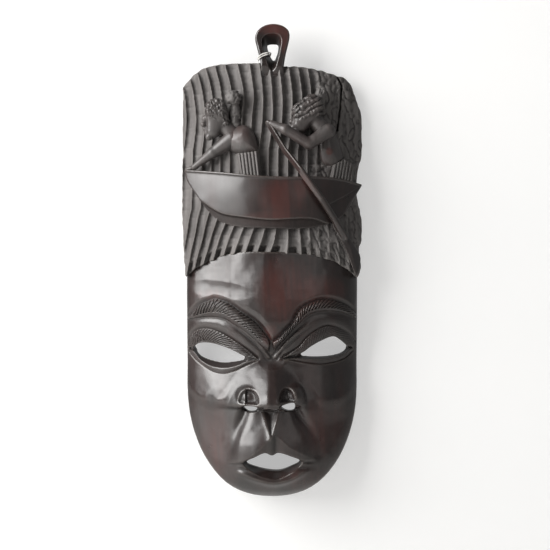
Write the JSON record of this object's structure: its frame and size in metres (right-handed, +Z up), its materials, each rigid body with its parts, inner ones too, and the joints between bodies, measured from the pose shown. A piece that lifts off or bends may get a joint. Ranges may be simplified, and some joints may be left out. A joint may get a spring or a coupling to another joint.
{
  "type": "carved wall mask",
  "caption": "Tall dark wooden wall mask with a long oval face, cut-through eyes and mouth, a canoe scene in relief across its carved hair, and a hanging loop on top.",
  "frame": {"origin": "in line with the middle of the hanging eye, on the plane of the wall that the back rim rests against", "axes": "+Z up, the viewer in front at -Y, +X to the viewer's right"},
  "size_m": [0.1665, 0.072, 0.4315],
  "materials": {
    "polished_wood": "oiled and rubbed dark ebony-like wood with a soft sheen and red-brown streaks",
    "carved_wood": "matt dark ebony-like wood left from the gouge, with dust in the cuts",
    "string": "white twisted cotton string"
  },
  "bodies": {
    "root": {"hanging_loop": "polished_wood", "hair_panel": "carved_wood", "hair_fringe": "carved_wood", "canoe_hull": "polished_wood", "canoe_keel": "carved_wood", "canoe_gunwale": "polished_wood", "paddle_shaft": "polished_wood", "paddle_blade": "polished_wood", "bow_paddler_head": "carved_wood", "bow_paddler_bun": "carved_wood", "bow_paddler_torso": "polished_wood", "bow_paddler_arm": "polished_wood", "bow_paddler_skirt": "carved_wood", "stern_paddler_head": "carved_wood", "stern_paddler_bun": "carved_wood", "stern_paddler_torso": "polished_wood", "stern_paddler_arm": "polished_wood", "stern_paddler_skirt": "carved_wood", "forehead": "polished_wood", "cheeks": "polished_wood", "jaw": "polished_wood", "left_brow": "polished_wood", "right_brow": "polished_wood", "left_upper_lid": "polished_wood", "right_upper_lid": "polished_wood", "left_lower_lid": "polished_wood", "right_lower_lid": "polished_wood", "nose_ridge": "polished_wood", "left_nostril_wing": "polished_wood", "right_nostril_wing": "polished_wood", "left_lip_fold": "polished_wood", "right_lip_fold": "polished_wood", "upper_lip": "polished_wood", "lower_lip": "polished_wood", "tie_string": "string", "tie_knot": "string"}
  },
  "joints": []
}
